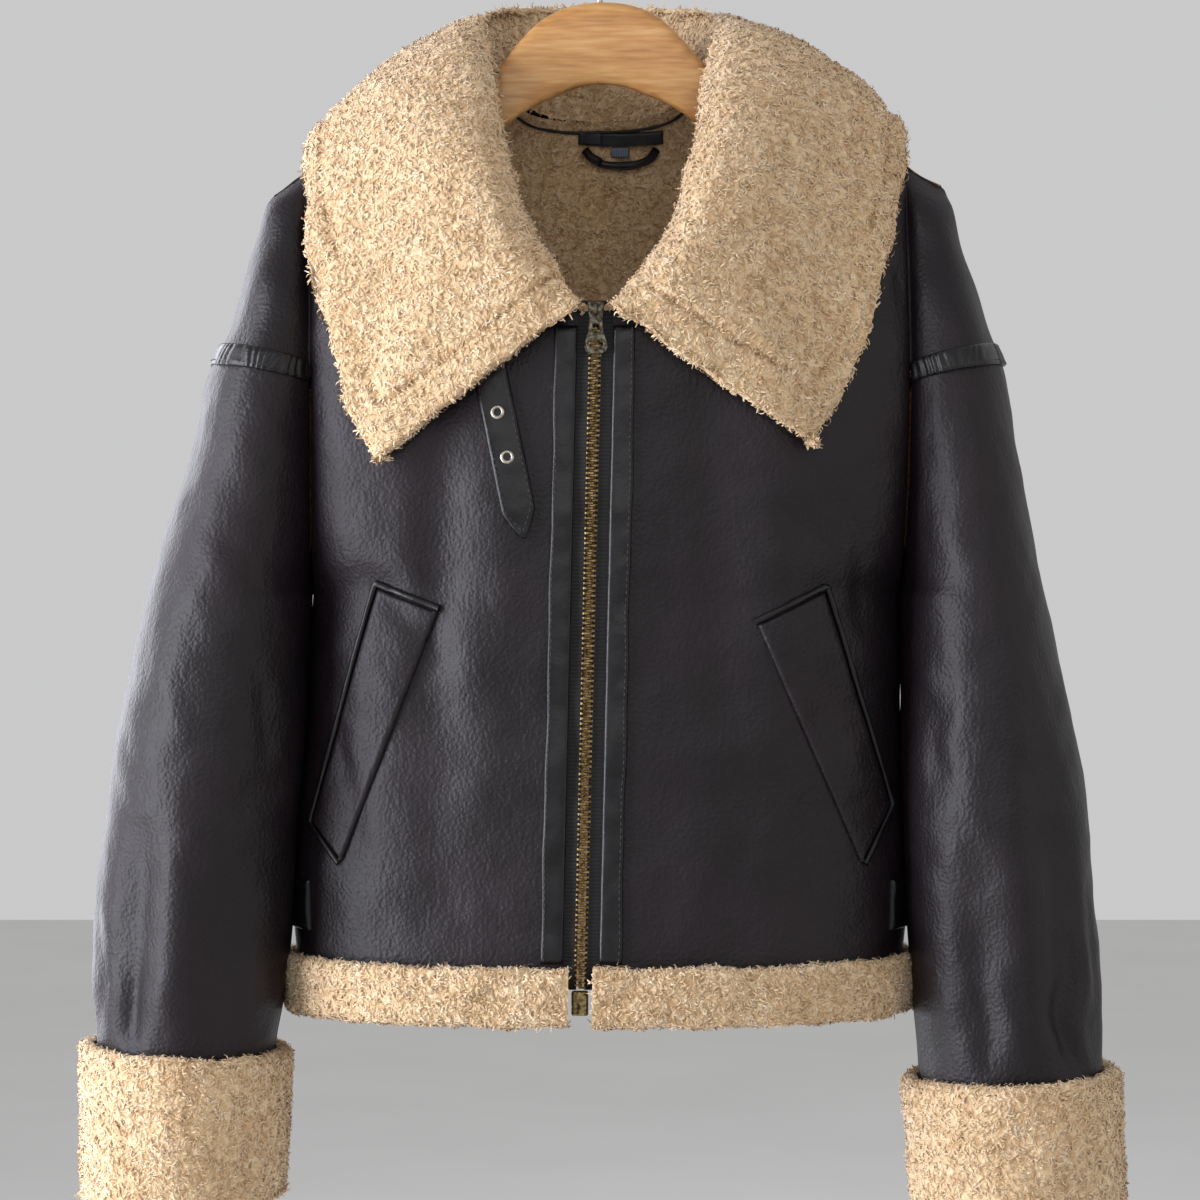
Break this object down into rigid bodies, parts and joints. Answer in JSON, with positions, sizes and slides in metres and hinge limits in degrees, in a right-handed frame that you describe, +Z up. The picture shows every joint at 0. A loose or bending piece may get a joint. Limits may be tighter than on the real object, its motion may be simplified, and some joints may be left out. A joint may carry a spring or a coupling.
{
  "type": "aviator jacket on a wooden hanger",
  "caption": "Waist-length leather aviator jacket with a wide pile collar, pile cuffs and hem and a zip front, hanging on a wooden hanger.",
  "frame": {"origin": "top of the bend inside the hanger's hook, where it rests on a rail", "axes": "+Z up, -Y towards the front of the jacket, +X towards the wearer's left side, which is on the right in a front view"},
  "size_m": [0.6708, 0.2249, 0.8695],
  "materials": {
    "leather": "grained sheepskin, satin",
    "smooth_trim": "smooth leather, semi-gloss",
    "pile": "curly shearling pile, matte",
    "brass": "antiqued",
    "steel": "plated, satin",
    "tape": "woven, matte",
    "size_tab": "woven, matte",
    "wood": "satin lacquer"
  },
  "bodies": {
    "jacket": {"armhole_strip_left": "smooth_trim", "armhole_strip_right": "smooth_trim", "back_left": "leather", "back_right": "leather", "collar": "pile", "cuff_left": "pile", "cuff_right": "pile", "eyelet_lower": "steel", "eyelet_upper": "steel", "front_left": "leather", "front_right": "leather", "hang_loop": "tape", "hanger_hook": "steel", "hanger_wood": "wood", "hem_back": "pile", "hem_front_left": "pile", "hem_front_right": "pile", "neck_label": "tape", "placket_left": "smooth_trim", "placket_right": "smooth_trim", "pocket_piping_left": "smooth_trim", "pocket_piping_right": "smooth_trim", "pocket_welt_left": "leather", "pocket_welt_right": "leather", "side_tab_left": "smooth_trim", "side_tab_right": "smooth_trim", "size_tab": "size_tab", "sleeve_left": "leather", "sleeve_right": "leather", "throat_strap": "smooth_trim", "zip_bottom_box": "brass", "zip_chain": "brass", "zip_slider": "brass", "zip_tape_left": "tape", "zip_tape_right": "tape"},
    "pull_tab": {"zip_pull_tab": "brass"}
  },
  "joints": [
    {"name": "pull_swing", "type": "hinge", "parent": "jacket", "child": "pull_tab", "pos_m": [-0.00257, -0.09447, -0.286], "axis": [-1, 0, 0], "range_deg": [0, 100]}
  ]
}
